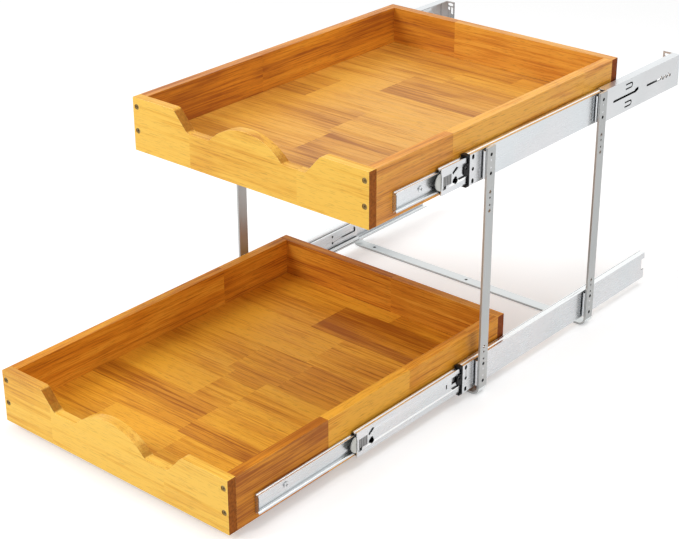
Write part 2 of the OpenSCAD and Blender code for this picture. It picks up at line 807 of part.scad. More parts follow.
// Slot through the rear flange between two round ends, lying or standing
module flange_slot(from, to) {
    depth = bracket_t + 2 * cut;
    low = [min(from.x, to.x), min(from.z, to.z)];
    size = [abs(from.x - to.x), abs(from.z - to.z)];
    half = flange_slot_w / 2;
    lying = size.x > 0;
    for (end = [from, to]) translate(end) rotate([-90, 0, 0]) cylinder(d = flange_slot_w, h = depth);
    translate([low.x - (lying ? 0 : half), from.y, low.y - (lying ? half : 0)])
        cube([lying ? size.x : flange_slot_w, depth, lying ? flange_slot_w : size.y]);
}

// ---- Trays ----

module at_tray(level) {
    translate([0, tray_y(level), level_z(level)]) children();
}

// Front board's outline: high ends, slopes down to low stretches, and a round rise in the middle,
// with fillets where they meet
module front_outline() {
    half = tray_w / 2;
    rise = tray_h - dip_h;
    slope_top = [half - slope_start, tray_h];
    slope_foot = [half - slope_start - slope_w, dip_h];
    difference() {
        translate([-half, 0]) square([tray_w, tray_h]);
        polygon([
            [-slope_top.x, tray_h + cut], [-slope_top.x, tray_h], [-slope_foot.x, dip_h],
            slope_foot, slope_top, [slope_top.x, tray_h + cut]
        ]);
        both_ends() corner_fillet(slope_top, slope_foot, [half, tray_h], slope_r);
    }
    both_ends() corner_fillet(slope_foot, slope_top, [0, dip_h], slope_r);
    bump_r = (bump_half_w * bump_half_w + rise * rise) / (2 * rise);
    intersection() {
        translate([0, tray_h - bump_r]) circle(r = bump_r);
        translate([-half, dip_h - cut]) square([tray_w, rise + 2 * cut]);
    }
    both_ends() bump_fillet(bump_r, foot_r);
}

// Draws something and its mirror image at the board's left end
module both_ends() {
    children();
    mirror([1, 0, 0]) children();
}

// Area between a corner of two straight edges and the arc that rounds it
module corner_fillet(corner, before, after, r) {
    a = (before - corner) / norm(before - corner);
    b = (after - corner) / norm(after - corner);
    middle = (a + b) / norm(a + b);
    half_angle = acos(a * b) / 2;
    reach = r / tan(half_angle);
    fillet_area(corner - cut * middle, corner + reach * a, corner + middle * r / sin(half_angle),
        corner + reach * b, r);
}

// Area between the low stretch, the middle rise of radius bump_r, and the arc that joins them
module bump_fillet(bump_r, r) {
    bump_centre = [0, tray_h - bump_r];
    height = dip_h + r - bump_centre.y;
    centre = [sqrt((bump_r + r) * (bump_r + r) - height * height), dip_h + r];
    touch = bump_centre + (centre - bump_centre) * bump_r / (bump_r + r);
    fillet_area([bump_half_w - cut, dip_h - cut], [centre.x, dip_h], centre, touch, r);
}

module fillet_area(corner, from, centre, to, r) {
    difference() {
        polygon([corner, from, centre, to]);
        translate(centre) circle(r = r);
    }
}

// Groove that holds the bottom panel, cut in a board that stands along X
module cross_groove(y) {
    groove_l = tray_w - 2 * (board_t - groove_d);
    translate([-groove_l / 2, y, panel_lift - panel_gap])
        cube([groove_l, groove_d + cut, panel_t + 2 * panel_gap]);
}

// Countersunk clearance holes in a front or back board, heads on the outside
module board_screw_holes() {
    for (side = [LEFT, RIGHT], row = [0, 1])
        translate([side * (tray_w - board_t) / 2, 0, wood_screw_low + row * wood_screw_gap])
            rotate([-90, 0, 0]) {
                translate([0, 0, -cut]) cylinder(d = wood_screw_d + 2 * hole_gap, h = board_t + 2 * cut);
                translate([0, 0, -cut])
                    cylinder(d = wood_screw_head_d + 2 * hole_gap, h = cut + wood_screw_sink);
                translate([0, 0, wood_screw_sink])
                    cylinder(d1 = wood_screw_head_d + 2 * hole_gap, d2 = wood_screw_d + 2 * hole_gap,
                        h = (wood_screw_head_d - wood_screw_d) / 2);
            }
}

module tray_front(level) {
    color(honey_wood) at_tray(level) difference() {
        translate([0, board_t, 0]) rotate([90, 0, 0]) linear_extrude(height = board_t) front_outline();
        cross_groove(board_t - groove_d);
        board_screw_holes();
    }
}

module tray_back(level) {
    color(side_wood) at_tray(level) difference() {
        translate([-tray_w / 2, tray_d - board_t, 0]) cube([tray_w, board_t, tray_h]);
        cross_groove(tray_d - board_t - cut);
        translate([0, tray_d, 0]) mirror([0, 1, 0]) board_screw_holes();
    }
}

module tray_side(level, side) {
    side_l = tray_d - 2 * board_t;
    pilot_l = wood_screw_l + wood_screw_sink - board_t;
    color(side_wood) at_tray(level) translate([side * (tray_w - board_t) / 2, 0, 0]) difference() {
        translate([-board_t / 2, board_t, 0]) cube([board_t, side_l, tray_h]);
        translate([-side * (board_t / 2 + cut / 2 - groove_d / 2) - (groove_d + cut) / 2, board_t - cut,
            panel_lift - panel_gap])
            cube([groove_d + cut, side_l + 2 * cut, panel_t + 2 * panel_gap]);
        for (row = [0, 1], end = [board_t - cut, tray_d - board_t - pilot_l])
            translate([0, end, wood_screw_low + row * wood_screw_gap]) rotate([-90, 0, 0])
                cylinder(d = wood_screw_d + 2 * hole_gap, h = pilot_l + cut);
        for (place = rail_screw_places)
            translate([side * board_t / 2, inner_setback + place, rail_h / 2]) rotate([0, -side * 90, 0])
                translate([0, 0, -cut]) cylinder(d = rail_screw_d + 2 * hole_gap, h = rail_screw_l + cut);
    }
}

module tray_bottom(level) {
    inset = board_t - groove_d + panel_gap;
    color(floor_wood) at_tray(level)
        translate([-tray_w / 2 + inset, inset, panel_lift])
            cube([tray_w - 2 * inset, tray_d - 2 * inset, panel_t]);
}

// Countersunk wood screw along +Y, its head's face at y = 0
module wood_screw() {
    head_h = (wood_screw_head_d - wood_screw_d) / 2;
    rotate([-90, 0, 0]) difference() {
        union() {
            cylinder(d1 = wood_screw_head_d, d2 = wood_screw_d, h = head_h);
            translate([0, 0, head_h])
                cylinder(d = wood_screw_d, h = wood_screw_l - head_h - screw_point_l);
            translate([0, 0, wood_screw_l - screw_point_l])
                cylinder(d1 = wood_screw_d, d2 = screw_point_d, h = screw_point_l);
        }
        cross_recess();
    }
}

// Cross recess of a screw whose head's face lies at z = 0
module cross_recess() {
    for (turn = [0, 90]) rotate([0, 0, turn]) translate([-recess_l / 2, -recess_w / 2, -cut])
        cube([recess_l, recess_w, cut + recess_d]);
}

module tray_screws(level) {
    color(brass) at_tray(level) for (side = [LEFT, RIGHT], row = [0, 1])
        translate([side * (tray_w - board_t) / 2, 0, wood_screw_low + row * wood_screw_gap]) {
            translate([0, wood_screw_sink, 0]) wood_screw();
            translate([0, tray_d - wood_screw_sink, 0]) mirror([0, 1, 0]) wood_screw();
        }
}

// Pan-head screws that hold the inner rails to the tray's sides
module rail_screws(level) {
    color(steel) for (side = [LEFT, RIGHT], place = rail_screw_places)
        at_rail(level, side) translate([0, place - tray_out(level), 0]) difference() {
            union() {
                bar_x(rail_screw_d, inner_t - rail_screw_l, inner_t);
                bar_x(rail_screw_head_d, inner_t, inner_t + rail_screw_head_t);
            }
            translate([inner_t + rail_screw_head_t, 0, 0]) rotate([0, -90, 0]) cross_recess();
        }
}

frame(FRONT);  // front_frame
frame(REAR);  // rear_frame
standoffs(FRONT);  // front_standoffs
standoffs(REAR);  // rear_standoffs
standoff_rivets();
rear_bracket(LEFT);  // left_rear_bracket
rear_bracket(RIGHT);  // right_rear_bracket
outer_rail(LOWER, LEFT);  // lower_left_outer_rail
outer_rail(LOWER, RIGHT);  // lower_right_outer_rail
outer_rail(UPPER, LEFT);  // upper_left_outer_rail
outer_rail(UPPER, RIGHT);  // upper_right_outer_rail
end_stop(LOWER, LEFT);  // lower_left_end_stop
end_stop(LOWER, RIGHT);  // lower_right_end_stop
end_stop(UPPER, LEFT);  // upper_left_end_stop
end_stop(UPPER, RIGHT);  // upper_right_end_stop
outer_cage(LOWER, LEFT);  // lower_left_outer_cage
outer_cage(LOWER, RIGHT);  // lower_right_outer_cage
outer_cage(UPPER, LEFT);  // upper_left_outer_cage
outer_cage(UPPER, RIGHT);  // upper_right_outer_cage
outer_balls(LOWER, LEFT);  // lower_left_outer_balls
outer_balls(LOWER, RIGHT);  // lower_right_outer_balls
outer_balls(UPPER, LEFT);  // upper_left_outer_balls
outer_balls(UPPER, RIGHT);  // upper_right_outer_balls
middle_rail(LOWER, LEFT);  // lower_left_middle_rail
middle_rail(LOWER, RIGHT);  // lower_right_middle_rail
middle_rail(UPPER, LEFT);  // upper_left_middle_rail
middle_rail(UPPER, RIGHT);  // upper_right_middle_rail
bumper(LOWER, LEFT);  // lower_left_bumper
bumper(LOWER, RIGHT);  // lower_right_bumper
bumper(UPPER, LEFT);  // upper_left_bumper
bumper(UPPER, RIGHT);  // upper_right_bumper
inner_cage(LOWER, LEFT);  // lower_left_inner_cage
inner_cage(LOWER, RIGHT);  // lower_right_inner_cage
inner_cage(UPPER, LEFT);  // upper_left_inner_cage
inner_cage(UPPER, RIGHT);  // upper_right_inner_cage
inner_balls(LOWER, LEFT);  // lower_left_inner_balls
inner_balls(LOWER, RIGHT);  // lower_right_inner_balls
inner_balls(UPPER, LEFT);  // upper_left_inner_balls
inner_balls(UPPER, RIGHT);  // upper_right_inner_balls
inner_rail(LOWER, LEFT);  // lower_left_inner_rail
inner_rail(LOWER, RIGHT);  // lower_right_inner_rail
inner_rail(UPPER, LEFT);  // upper_left_inner_rail
inner_rail(UPPER, RIGHT);  // upper_right_inner_rail
tray_front(LOWER);  // lower_tray_front
tray_back(LOWER);  // lower_tray_back
tray_side(LOWER, LEFT);  // lower_tray_left_side
tray_side(LOWER, RIGHT);  // lower_tray_right_side
tray_bottom(LOWER);  // lower_tray_bottom
tray_screws(LOWER);  // lower_tray_screws
rail_screws(LOWER);  // lower_rail_screws
tray_front(UPPER);  // upper_tray_front
tray_back(UPPER);  // upper_tray_back
tray_side(UPPER, LEFT);  // upper_tray_left_side
tray_side(UPPER, RIGHT);  // upper_tray_right_side
tray_bottom(UPPER);  // upper_tray_bottom
tray_screws(UPPER);  // upper_tray_screws
rail_screws(UPPER);  // upper_rail_screws
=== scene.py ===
"""Looks for the pull-out cabinet organiser: wood, metal and plastic, soft studio light and the camera.

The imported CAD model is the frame. The wooden boards are rebuilt from their CAD nodes as glued
staves with eased edges. The sheet metal and plastic pieces are copies of their CAD solids with
rounded edges. The balls, cages and wood screws are the CAD solids themselves.
"""
import json
import math
import random

import bmesh
import bpy
from mathutils import Euler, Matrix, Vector


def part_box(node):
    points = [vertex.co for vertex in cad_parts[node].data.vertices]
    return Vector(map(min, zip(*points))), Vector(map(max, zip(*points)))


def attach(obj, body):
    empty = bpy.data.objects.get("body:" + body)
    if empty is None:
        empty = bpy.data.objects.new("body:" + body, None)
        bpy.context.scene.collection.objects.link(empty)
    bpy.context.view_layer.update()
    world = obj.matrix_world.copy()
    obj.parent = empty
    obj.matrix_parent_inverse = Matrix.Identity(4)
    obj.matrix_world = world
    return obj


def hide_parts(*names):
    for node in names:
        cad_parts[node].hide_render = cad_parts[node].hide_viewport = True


MM = 0.001

LEVELS = ("lower", "upper")
SIDES = ("left", "right")
X, Y, Z = range(3)

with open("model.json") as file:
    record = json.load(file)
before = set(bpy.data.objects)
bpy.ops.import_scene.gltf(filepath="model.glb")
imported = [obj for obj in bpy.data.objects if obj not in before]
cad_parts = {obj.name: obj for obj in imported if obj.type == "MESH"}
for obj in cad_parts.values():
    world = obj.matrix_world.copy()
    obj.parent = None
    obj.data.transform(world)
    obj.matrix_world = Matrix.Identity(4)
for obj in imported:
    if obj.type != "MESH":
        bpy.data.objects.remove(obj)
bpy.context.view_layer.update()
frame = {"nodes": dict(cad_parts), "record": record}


# ---- Node trees ----

# Places of the colour mixing node's sockets
MIX_FACTOR, MIX_A, MIX_B, MIX_RESULT = 0, 6, 7, 2

# Most values of a noise lie between these
NOISE_SPAN = (0.3, 0.7)


def add_node(tree, kind, inputs=None, **settings):
    """A node of a tree, with its settings, and inputs given as plain values or as sockets to link."""
    node = tree.nodes.new(kind)
    for key, value in settings.items():
        setattr(node, key, value)
    for key, value in (inputs or {}).items():
        if isinstance(value, bpy.types.NodeSocket):
            tree.links.new(value, node.inputs[key])
        else:
            node.inputs[key].default_value = value
    return node


def math_node(tree, operation, a, b):
    node = add_node(tree, "ShaderNodeMath", {0: a, 1: b}, operation=operation)
    return node.outputs[0]


def vector_node(tree, operation, a, b):
    node = add_node(tree, "ShaderNodeVectorMath", {0: a, 1: b}, operation=operation)
    return node.outputs[0]


def noise(tree, vector, scale, detail=3.0, distortion=0.0):
    node = add_node(tree, "ShaderNodeTexNoise", {
        "Vector": vector, "Scale": scale, "Detail": detail, "Distortion": distortion,
    })
    return node.outputs["Fac"]


def ramp(tree, value, low, high, at_low=0.0, at_high=1.0):
    """value moved from the range low to high onto at_low to at_high, smoothly and clamped."""
    node = add_node(tree, "ShaderNodeMapRange", {
        "Value": value, "From Min": low, "From Max": high, "To Min": at_low, "To Max": at_high,
    }, interpolation_type="SMOOTHSTEP")
    return node.outputs["Result"]


def mix(tree, factor, a, b):
    """The colour a where factor is 0 and b where it is 1, each a plain colour or a socket."""
    node = add_node(tree, "ShaderNodeMix", {MIX_FACTOR: factor}, data_type="RGBA")
    for index, colour in ((MIX_A, a), (MIX_B, b)):
        if isinstance(colour, bpy.types.NodeSocket):
            tree.links.new(colour, node.inputs[index])
        else:
            node.inputs[index].default_value = (*colour, 1.0)
    return node.outputs[MIX_RESULT]


def darker(colour, share):
    """A colour brought down to the given share of its brightness."""
    return [c * share for c in colour]


def new_material(name, **sockets):
    """A material, its tree, its shader and the object's own coordinates."""
    material = bpy.data.materials.new(name)
    material.use_nodes = True
    tree = material.node_tree
    shader = tree.nodes["Principled BSDF"]
    for key, value in sockets.items():
        shader.inputs[key.replace("_", " ")].default_value = value
    place = tree.nodes.new("ShaderNodeTexCoord").outputs["Object"]
    return material, tree, shader, place


def bump(tree, shader, height, distance, strength):
    node = add_node(tree, "ShaderNodeBump", {
        "Height": height, "Distance": distance, "Strength": strength,
    })
    tree.links.new(node.outputs["Normal"], shader.inputs["Normal"])


# ---- Wood ----

# End grain drinks the varnish: its colour, as shares of the wood's darkest tone
END_GRAIN = (0.68, 0.50, 0.42)
END_RING_SCALE = 260.0
END_RING_SHADE = 0.65
END_GLOSS = 0.04

# The layers of the grain: how often each varies in a metre along and across the grain, its detail
# and its distortion
GRAIN_LAYERS = {
    "figure": (3.5, 30.0, 3.0, 0.9),
    "streaks": (2.6, 190.0, 4.0, 0.5),
    "lines": (13.0, 520.0, 3.0, 0.3),
    "pores": (60.0, 1100.0, 2.0, 0.0),
}
CLOUD_SCALE = 7.0

# What the layers add to a stave's tone: from and to which noise, and the least and the most added
LAYER_DEPTH = {
    "figure": (0.35, 0.70, -0.16, 0.24),
    "streaks": (0.46, 0.72, -0.07, 0.34),
    "lines": (0.48, 0.66, -0.05, 0.30),
    "cloud": (0.3, 0.7, -0.12, 0.12),
}
DARK_LINES = ("streaks", "lines")
TONE_DEPTH = 0.70

# The place of the middle tone between the pale one and the brown one
HONEY_STOP = 0.42

PORE_RANGE = (0.55, 0.70)
PORE_DARKNESS = 0.36
PORE_SHADE = 0.45

# How far a stave's seed moves its grain, in metres along X, Y and Z
SEED_SHIFT = {"X": 3.1, "Y": 5.3, "Z": 1.7}

VARNISH_COAT = 0.05
VARNISH_COAT_ROUGHNESS = 0.25
VARNISH_ROUGHNESS = (0.32, 0.48)
GRAIN_HEIGHT = 0.15 * MM
GRAIN_STRENGTH = 0.5


def wood(name, axis, pale, honey, brown, gloss=0.25, grain=1.0):
    """Varnished staves with their grain along axis.

    The attribute "stave" holds each stave's tone in red, its own seed in green, and in blue
    how far the face shows end grain. grain is the strength of the dark lines and pores.
    """
    material, tree, shader, place = new_material(
        name, Coat_Weight=VARNISH_COAT, Coat_Roughness=VARNISH_COAT_ROUGHNESS)
    stave = add_node(tree, "ShaderNodeAttribute", attribute_name="stave").outputs["Color"]
    parts = add_node(tree, "ShaderNodeSeparateColor", {"Color": stave}).outputs
    tone, seed, end = parts["Red"], parts["Green"], parts["Blue"]
    shift = add_node(tree, "ShaderNodeCombineXYZ", {
        key: math_node(tree, "MULTIPLY", seed, far) for key, far in SEED_SHIFT.items()
    }).outputs[0]
    place = vector_node(tree, "ADD", place, shift)

    layers = {}
    for key, (along, across, detail, distortion) in GRAIN_LAYERS.items():
        scale = [across, across, across]
        scale[axis] = along
        stretched = vector_node(tree, "MULTIPLY", place, scale)
        layers[key] = noise(tree, stretched, 1.0, detail=detail, distortion=distortion)
    layers["cloud"] = noise(tree, place, CLOUD_SCALE, detail=2.0)

    depth = math_node(tree, "MULTIPLY", tone, TONE_DEPTH)
    for key, (low, high, least, most) in LAYER_DEPTH.items():
        strength = grain if key in DARK_LINES else 1.0
        added = ramp(tree, layers[key], low, high, least, most * strength)
        depth = math_node(tree, "ADD", depth, added)
    ramp_node = add_node(tree, "ShaderNodeValToRGB", {"Fac": depth})
    stops = ramp_node.color_ramp.elements
    stops[0].color = (*pale, 1.0)
    stops[1].color = (*brown, 1.0)
    stops.new(HONEY_STOP).color = (*honey, 1.0)

    dark_pore = ramp(tree, layers["pores"], *PORE_RANGE, 0.0, PORE_DARKNESS * grain)
    colour = mix(tree, dark_pore, ramp_node.outputs["Color"], darker(brown, PORE_SHADE))
    rings = ramp(tree, noise(tree, place, END_RING_SCALE, detail=2.0), *NOISE_SPAN)
    end_grain = [c * share for c, share in zip(brown, END_GRAIN)]
    end_colour = mix(tree, rings, darker(end_grain, END_RING_SHADE), end_grain)
    colour = mix(tree, end, colour, end_colour)
    tree.links.new(colour, shader.inputs["Base Color"])
    shine = ramp(tree, end, 0.0, 1.0, gloss, END_GLOSS)
    tree.links.new(shine, shader.inputs["Specular IOR Level"])
    rough = ramp(tree, layers["streaks"], *NOISE_SPAN, *VARNISH_ROUGHNESS)
    tree.links.new(rough, shader.inputs["Roughness"])
    relief = math_node(tree, "SUBTRACT", layers["streaks"], dark_pore)
    bump(tree, shader, relief, GRAIN_HEIGHT, GRAIN_STRENGTH)
    return material


# ---- Metal and plastic ----

# The marks of drawing: how often they vary in a metre along and across the sheet
DRAWN_ALONG = 14.0
DRAWN_ACROSS = 900.0
DRAWN_HEIGHT = 0.04 * MM
DRAWN_STRENGTH = 0.25

# The patches of passivation colour, and the cooler ones laid over them
PATCH_SCALE = 9.0
PATCH_DISTORTION = 0.6
COOL_SCALE = 14.0
COOL_SHIFT = (0.7, 0.2, 0.4)
COOL_SHADE = 0.90

# From and to which noise the patches show, and how strongly at either end
PATCH_SHOWS = (0.35, 0.65, 0.0, 0.5)
COOL_SHOWS = (0.4, 0.7, 0.0, 0.35)

# How far the marks of drawing and the patches move the roughness
DRAWN_ROUGHNESS = (-0.04, 0.05)
PATCH_ROUGHNESS = (-0.03, 0.04)

# Heights of a normal between which a slope facing down, or a top, takes the painted highlight
FACES_DOWN = (-0.05, -0.14)
FACES_UP = (0.5, 0.8)

# The painted shade in the metal's hollows: how open they are between darkest and plain, how
# strongly they darken, and to which share of its brightness
HOLLOW_OPENNESS = (0.15, 0.75)
HOLLOW_STRENGTH = 0.92
HOLLOW_SHADE = 0.08
HOLLOW_SAMPLES = 8

# The skin of moulded plastic, and the painted shade in its hollows
SKIN_SCALE = 900.0
SKIN_CLOUD_SCALE = 60.0
SKIN_HEIGHT = 0.05 * MM
SKIN_STRENGTH = 0.3
SKIN_ROUGHER = 0.12
PLASTIC_SHADED_HOLLOW = 3 * MM
PLASTIC_SHADED_HOLLOW_OPENNESS = (0.2, 0.8)
PLASTIC_HOLLOW_PAINTED_SHADE = 0.2


def hollows(tree, distance, low, high):
    """The mask of painted shade: 1 in hollows narrower than distance, where openness is under low, and
    0 where it is over high.
    """
    air = add_node(tree, "ShaderNodeAmbientOcclusion", {"Distance": distance},
                   samples=HOLLOW_SAMPLES)
    return ramp(tree, air.outputs["AO"], low, high, 1.0, 0.0)


def sheet_metal(name, colour, tint, roughness, axis=Y, hollow=6 * MM, highlight_gain=1.0):
    """Zinc-plated sheet: drawn along axis, with faint patches of passivation colour.

    Hollows up to the given size are darkened as painted shade. Level tops and the slopes that face
    down are brightened by the given factor, as a painted highlight.
    """
    material, tree, shader, place = new_material(name, Metallic=1.0)
    patches = noise(tree, place, PATCH_SCALE, detail=2.0, distortion=PATCH_DISTORTION)
    cool = noise(tree, vector_node(tree, "ADD", place, COOL_SHIFT), COOL_SCALE, detail=2.0)
    scale = [DRAWN_ACROSS, DRAWN_ACROSS, DRAWN_ACROSS]
    scale[axis] = DRAWN_ALONG
    drawn = noise(tree, vector_node(tree, "MULTIPLY", place, scale), 1.0, detail=3.0)
    shade = mix(tree, ramp(tree, patches, *PATCH_SHOWS), colour, tint)
    shade = mix(tree, ramp(tree, cool, *COOL_SHOWS), shade, darker(colour, COOL_SHADE))

    normal = tree.nodes.new("ShaderNodeNewGeometry").outputs["Normal"]
    upward = add_node(tree, "ShaderNodeSeparateXYZ", {"Vector": normal}).outputs["Z"]
    below, above = ramp(tree, upward, *FACES_DOWN), ramp(tree, upward, *FACES_UP)
    # Painted highlight: level tops and slopes that face down are brightened by the given factor
    painted_highlight = math_node(tree, "MAXIMUM", below, above)
    shade = mix(tree, painted_highlight, shade, [min(1.0, c * highlight_gain) for c in colour])
    # Painted shade in the hollows
    painted_hollow_shade = math_node(tree, "MULTIPLY", hollows(tree, hollow, *HOLLOW_OPENNESS), HOLLOW_STRENGTH)
    shade = mix(tree, painted_hollow_shade, shade, darker(colour, HOLLOW_SHADE))
    tree.links.new(shade, shader.inputs["Base Color"])

    streaked = ramp(tree, drawn, *NOISE_SPAN, *DRAWN_ROUGHNESS)
    patchy = ramp(tree, patches, *NOISE_SPAN, *[roughness + change for change in PATCH_ROUGHNESS])
    rough = math_node(tree, "ADD", streaked, patchy)
    tree.links.new(rough, shader.inputs["Roughness"])
    bump(tree, shader, drawn, DRAWN_HEIGHT, DRAWN_STRENGTH)
    return material


def moulded(name, colour, roughness, speckle=0.12, gloss=0.5):
    """Moulded plastic with a fine grained skin and painted shade in its hollows."""
    material, tree, shader, place = new_material(name, Specular_IOR_Level=gloss)
    grain = noise(tree, place, SKIN_SCALE, detail=3.0)
    cloud = ramp(tree, noise(tree, place, SKIN_CLOUD_SCALE, detail=2.0), *NOISE_SPAN)
    shade = mix(tree, cloud, colour, darker(colour, 1.0 - speckle))
    # Painted shade in the hollows
    painted_hollow_shade = hollows(tree, PLASTIC_SHADED_HOLLOW, *PLASTIC_SHADED_HOLLOW_OPENNESS)
    shade = mix(tree, painted_hollow_shade, shade, darker(colour, PLASTIC_HOLLOW_PAINTED_SHADE))
    tree.links.new(shade, shader.inputs["Base Color"])
    rough = ramp(tree, grain, *NOISE_SPAN, roughness, roughness + SKIN_ROUGHER)
    tree.links.new(rough, shader.inputs["Roughness"])
    bump(tree, shader, grain, SKIN_HEIGHT, SKIN_STRENGTH)
    return material


MATERIALS = {
    "strip_steel": sheet_metal("strip_steel", (0.44, 0.455, 0.455), (0.49, 0.485, 0.475), 0.42, axis=Z,
                               highlight_gain=1.75),
    "bracket_steel": sheet_metal("bracket_steel", (0.66, 0.68, 0.69), (0.72, 0.71, 0.72), 0.34,
                                 highlight_gain=1.2),
    "rail_steel": sheet_metal("rail_steel", (0.65, 0.68, 0.70), (0.71, 0.69, 0.70), 0.26,
                              hollow=8 * MM, highlight_gain=1.5),
    # The cages are darker than the rails: partly their own colour, partly painted shade inside the
    # rails
    "cage_steel": sheet_metal("cage_steel", (0.42, 0.43, 0.44), (0.48, 0.47, 0.45), 0.38),
    "ball_steel": sheet_metal("ball_steel", (0.75, 0.76, 0.77), (0.70, 0.71, 0.73), 0.12),
    # The screws' dark brass is partly their own colour and partly painted shade of their deep recesses
    "screw_brass": sheet_metal("screw_brass", (0.24, 0.16, 0.06), (0.32, 0.24, 0.11), 0.30,
                               hollow=3 * MM),
    "pale_plastic": moulded("pale_plastic", (0.62, 0.62, 0.58), 0.42),
    "black_plastic": moulded("black_plastic", (0.009, 0.009, 0.010), 0.42, speckle=0.3, gloss=0.15),
}
# The strip's rounded edges are painted darker than its faces, as painted shade, and are a little
# rougher
STRIP_EDGE_SHADE = sheet_metal("strip_steel_painted_edge", (0.16, 0.155, 0.15), (0.20, 0.19, 0.18), 0.45, axis=Z)
# Where sheet is cut, at its ends and in its holes and slots, the walls are painted near black as
# painted shade, and are rougher
CUT_WALL_SHADE = sheet_metal("cut_wall_painted_shade", (0.09, 0.09, 0.09), (0.13, 0.12, 0.115), 0.5)
# The latch levers are greyer than the bumpers' noses
LEVER = moulded("lever_plastic", (0.33, 0.33, 0.33), 0.45)

# The lower tray's varnish is duller than the upper one's
GLOSS = {"lower": 0.12, "upper": 0.40}

# The fronts' dark lines are fainter than the other boards'
FRONT_GRAIN = 0.8

FRONT_TONES = [(0.88, 0.53, 0.078), (0.78, 0.40, 0.043), (0.50, 0.19, 0.024)]
# The eased edges are paler than the faces: a painted highlight along them
FRONT_EASED_HIGHLIGHT_TONES = [(1.0, 0.80, 0.28), (1.0, 0.70, 0.20), (0.90, 0.54, 0.13)]
BACK_TONES = [(0.78, 0.37, 0.045), (0.62, 0.235, 0.02), (0.36, 0.10, 0.012)]
SIDE_TONES = [(0.82, 0.39, 0.040), (0.67, 0.25, 0.018), (0.36, 0.10, 0.009)]
# The eased edges are paler than the faces: a painted highlight along them
BOARD_EDGE_HIGHLIGHT_TONES = [(0.92, 0.60, 0.16), (0.85, 0.50, 0.11), (0.62, 0.30, 0.06)]
FLOOR_TONES = {
    "lower": [(0.80, 0.39, 0.034), (0.66, 0.27, 0.019), (0.36, 0.105, 0.008)],
    "upper": [(0.74, 0.37, 0.050), (0.60, 0.26, 0.028), (0.33, 0.11, 0.013)],
}


def woods_of(level):
    """A tray's woods: the faces of each board, and the eased edges of all but the bottom, painted paler
    as a painted highlight.
    """
    gloss = GLOSS[level]
    return {
        "front": [wood(f"{level}_front_wood", X, *FRONT_TONES, grain=FRONT_GRAIN),
                  wood(f"{level}_front_wood_edge_highlight", X, *FRONT_EASED_HIGHLIGHT_TONES)],
        "back": [wood(f"{level}_back_wood", X, *BACK_TONES, gloss=gloss),
                 wood(f"{level}_back_wood_edge_highlight", X, *BOARD_EDGE_HIGHLIGHT_TONES)],
        "side": [wood(f"{level}_side_wood", Y, *SIDE_TONES, gloss=gloss),
                 wood(f"{level}_side_wood_edge_highlight", Y, *BOARD_EDGE_HIGHLIGHT_TONES)],
        "bottom": [wood(f"{level}_floor_wood", X, *FLOOR_TONES[level], gloss=gloss)],
    }


# ---- Boards ----

PALE, HONEY, TAN, BROWN, DARK = 0.0, 0.25, 0.5, 0.75, 1.0

# Staves of each floor panel, from the back: depth of the row in mm, then its staves' tones from
# the left with the joints between them, in mm from the panel's left edge
FLOOR_PLANS = {
    "lower": [
        (34, [HONEY, 230, TAN]),
        (81, [TAN, 150, DARK]),
        (84, [PALE, 215, HONEY]),
        (79, [HONEY, 140, TAN, 230, BROWN]),
        (84, [PALE, 155, HONEY, 215, PALE]),
        (44, [BROWN, 208, HONEY]),
        (36, [HONEY, 208, DARK]),
        (112, [HONEY, 95, PALE, 225, HONEY]),
    ],
    "upper": [
        (50, [BROWN, 260, TAN]),
        (62, [TAN, 180, HONEY]),
        (84, [HONEY, 130, TAN]),
        (82, [BROWN, 60, PALE]),
        (84, [TAN, 176, HONEY]),
        (80, [HONEY, 186, BROWN]),
        (112, [TAN, 120, BROWN, 300, TAN]),
    ],
}

# Staves of the other boards: tones, with the joints between them at places in mm along the grain
BOARD_PLANS = {
    "lower_tray_front": [HONEY, -112, PALE, 96, PALE],
    "upper_tray_front": [HONEY, -100, HONEY, 88, PALE],
    "lower_tray_back": [BROWN, 14, TAN],
    "upper_tray_back": [BROWN, -73, HONEY],
    "lower_tray_left_side": [TAN, -209, BROWN],
    "upper_tray_left_side": [DARK, -117, BROWN],
    "lower_tray_right_side": [DARK, -434, PALE, -271, TAN, -136, BROWN],
    "upper_tray_right_side": [TAN, -190, PALE, 113, HONEY],
}
# The joint that shows as a finger joint, by its board and place
FINGER_JOINTED = {"lower_tray_left_side": -209}
EASED_EDGE = 1.4 * MM
EASED_SEGMENTS = 3
FINGERS = 11
FINGER_DEPTH = 2.6 * MM
# An edge of a joint that rises more than this is upright
UPRIGHT_EDGE = 10 * MM

# The height of a normal above which a face looks up, and how much darker a front's top is painted, as
# painted shade
LOOKS_UP = 0.3
TOP_PAINTED_SHADE = {"front_wood": 0.4}

# A face shows end grain by END_GAIN times its lean towards the grain, less END_OFFSET, from 0 to 1
END_GAIN = 3.0
END_OFFSET = 1.5

SHARP = math.radians(35)
FLAT = math.radians(0.5)
WELD_DISTANCE = 1e-6
CUT_TOLERANCE = 1e-7

rng = random.Random(7)


def node_copy(name):
    """A bmesh of a CAD node with its split vertices joined and its flat faces made whole."""
    mesh = bmesh.new()
    mesh.from_mesh(frame["nodes"][name].data)
    bmesh.ops.remove_doubles(mesh, verts=mesh.verts, dist=WELD_DISTANCE)
    bmesh.ops.dissolve_limit(mesh, angle_limit=FLAT, verts=mesh.verts, edges=mesh.edges)
    return mesh


def cut(mesh, axis, place, faces=None):
    """Cuts faces along the plane through place across axis, and returns the new edges."""
    faces = list(mesh.faces) if faces is None else faces
    geometry = list({item for face in faces for item in (face, *face.edges, *face.verts)})
    normal, point = Vector((0, 0, 0)), Vector((0, 0, 0))
    normal[axis], point[axis] = 1.0, place
    result = bmesh.ops.bisect_plane(mesh, geom=geometry, dist=CUT_TOLERANCE,
                                    plane_co=point, plane_no=normal)
    return [item for item in result["geom_cut"] if isinstance(item, bmesh.types.BMEdge)]


